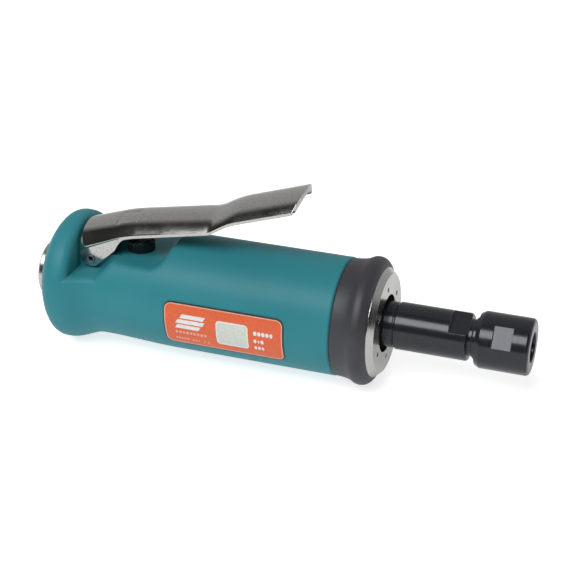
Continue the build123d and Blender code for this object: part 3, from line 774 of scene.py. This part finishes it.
def make_label_print_and_shadow():
    low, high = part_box("nameplate")
    radius = -low.y / MM
    x_low, x_high = low.x / MM, high.x / MM
    arc_low = radius * math.asin(low.z / MM / radius)
    arc_high = radius * math.asin(high.z / MM / radius)
    middle = ((x_low + x_high) / 2, (arc_low + arc_high) / 2)
    length, height = x_high - x_low, arc_high - arc_low

    def on_label(place):
        return x_low + place[0], arc_high - place[1]

    def print_rows(film, rows):
        for start, dashes, size, pitch in rows:
            film.word(on_label(start), dashes, size, pitch)

    pale = printed_film("label_pale", LABEL_PALE)
    white = printed_film("label_white", LABEL_WHITE)
    window = printed_film("label_window_white", LABEL_WINDOW)
    # The dark film is painted shadow for the line round the label.
    shadow_film = printed_film("label_painted_shadow", LABEL_SHADOW_PAINT)

    # Painted shadow: a dark line just outside the label, where its edge shades the casing.
    edge = Film(radius - SHADOW_LINE_SUNK, SHADOW_LINE_HEIGHT)
    edge.frame(middle, length + 2 * SHADOW_LINE_WIDER, height + 2 * SHADOW_LINE_WIDER, SHADOW_LINE_CORNER, SHADOW_LINE_WIDTH)
    edge.finish("label_shadow_line", shadow_film)

    border = Film(radius, BORDER_HEIGHT)
    border.frame(middle, length - 2 * BORDER_IN, height - 2 * BORDER_IN, LABEL_CORNER, BORDER_LINE)
    border.finish("label_border", pale)

    panel = Film(radius, PRINT_HEIGHT)
    panel.patch(on_label(WINDOW_AT), rounded_rectangle(*WINDOW_SIZE, WINDOW_CORNER))
    panel.finish("label_window", window)
    rim = Film(radius, WINDOW_RIM_HEIGHT)
    rim.frame(on_label(WINDOW_AT), *WINDOW_SIZE, WINDOW_CORNER, WINDOW_LINE)
    rim.finish("label_window_rim", white)

    mark = Film(radius, PRINT_HEIGHT)
    for index, bar in enumerate(MARK_BARS):
        place = (MARK_AT[0] + (1 - index) * MARK_SLANT, MARK_AT[1] + MARK_PITCH * index)
        mark.patch(on_label(place), slanted_bar(bar, MARK_BAR_HEIGHT, MARK_SLANT))
    mark.finish("label_mark", white)

    small = Film(radius, PRINT_HEIGHT)
    print_rows(small, SMALL_PRINT)
    small.finish("label_small_print", pale)

    words = Film(radius, PRINT_HEIGHT)
    print_rows(words, WORDS)
    words.finish("label_words", white)


# ------------------------------------------------------------------ stage, light and camera

def make_floor():
    low, _high = cad_box
    bm = bmesh.new()
    bmesh.ops.create_grid(bm, x_segments=2, y_segments=2, size=FLOOR_HALF)
    floor = new_object("floor", bm)
    floor.location = (0, 0, low.z - FLOOR_GAP)
    m = Recipe("floor_paper")
    m.colour(m.mix(m.noise(scale=4, detail=2), FLOOR, tone(FLOOR, 0.99)))
    m.set(Roughness=0.7, Specular_IOR_Level=0.2)
    m.surface.inputs["Emission Color"].default_value = (1, 1, 1, 1)
    glow = m.add("ShaderNodeMapRange")
    glow.inputs["To Min"].default_value = FLOOR_GLOW
    glow.inputs["To Max"].default_value = FLOOR_GLOW_SEEN
    m.link(m.add("ShaderNodeLightPath").outputs["Is Camera Ray"], glow.inputs["Value"])
    m.link(glow.outputs["Result"], m.surface.inputs["Emission Strength"])
    floor.data.materials.append(m.material)


def direction(azimuth, elevation):
    """Unit vector towards a bearing and height, seen from the object; azimuth 0 is the near side."""
    a, e = math.radians(azimuth), math.radians(elevation)
    return Vector((math.sin(a) * math.cos(e), -math.cos(a) * math.cos(e), math.sin(e)))


def make_softbox():
    data = bpy.data.lights.new("key", "AREA")
    data.shape = "RECTANGLE"
    data.size, data.size_y = KEY_SIZE
    data.energy = KEY_POWER
    data.color = KEY_COLOUR
    lamp = bpy.data.objects.new("key", data)
    bpy.context.scene.collection.objects.link(lamp)
    towards = direction(KEY_AZIMUTH, KEY_ELEVATION)
    lamp.location = AIM + towards * KEY_DISTANCE
    lamp.rotation_mode = "QUATERNION"
    lamp.rotation_quaternion = towards.to_track_quat("Z", "Y")


def make_world():
    """A bright room behind the object and a dark one in front; the camera itself sees white."""
    world = bpy.data.worlds.new("studio")
    bpy.context.scene.world = world
    world.use_nodes = True
    tree = world.node_tree
    place = tree.nodes.new("ShaderNodeTexCoord")
    split = tree.nodes.new("ShaderNodeSeparateXYZ")
    tree.links.new(place.outputs["Generated"], split.inputs[0])
    height = tree.nodes.new("ShaderNodeValToRGB")
    points = height.color_ramp.elements
    points.new(0.5)
    for point, (at, level) in zip(points, ROOM_SHADES):
        point.position = at
        point.color = grey(level)
    tree.links.new(split.outputs["Z"], height.inputs["Fac"])
    behind = tree.nodes.new("ShaderNodeMapRange")
    behind.inputs["From Min"].default_value = ROOM_FADE[0]
    behind.inputs["From Max"].default_value = ROOM_FADE[1]
    behind.inputs["To Min"].default_value = ROOM_FRONT
    behind.inputs["To Max"].default_value = ROOM_BACK
    tree.links.new(split.outputs["Y"], behind.inputs["Value"])
    room = tree.nodes["Background"]
    tree.links.new(height.outputs["Color"], room.inputs["Color"])
    tree.links.new(behind.outputs["Result"], room.inputs["Strength"])
    white = tree.nodes.new("ShaderNodeBackground")
    white.inputs["Color"].default_value = (1, 1, 1, 1)
    white.inputs["Strength"].default_value = 1.0
    path = tree.nodes.new("ShaderNodeLightPath")
    choose = tree.nodes.new("ShaderNodeMixShader")
    tree.links.new(path.outputs["Is Camera Ray"], choose.inputs["Fac"])
    tree.links.new(room.outputs[0], choose.inputs[1])
    tree.links.new(white.outputs[0], choose.inputs[2])
    tree.links.new(choose.outputs[0], tree.nodes["World Output"].inputs["Surface"])


def make_camera():
    data = bpy.data.cameras.new("camera")
    data.lens = LENS
    data.sensor_width = SENSOR
    data.clip_start = 0.01
    camera = bpy.data.objects.new("camera", data)
    bpy.context.scene.collection.objects.link(camera)
    back = direction(VIEW_AZIMUTH, VIEW_ELEVATION)
    camera.location = AIM + back * VIEW_DISTANCE
    camera.rotation_mode = "QUATERNION"
    camera.rotation_quaternion = (-back).to_track_quat("-Z", "Y")
    bpy.context.scene.camera = camera


# ------------------------------------------------------------------ build

materials = make_materials()
paint_cad_nodes(materials)
make_lever(materials["nickel_lever"])
make_valve_spring(materials["satin_steel"])
make_label_print_and_shadow()
make_floor()
make_world()
make_softbox()
make_camera()
bpy.context.scene.view_settings.view_transform = "Standard"
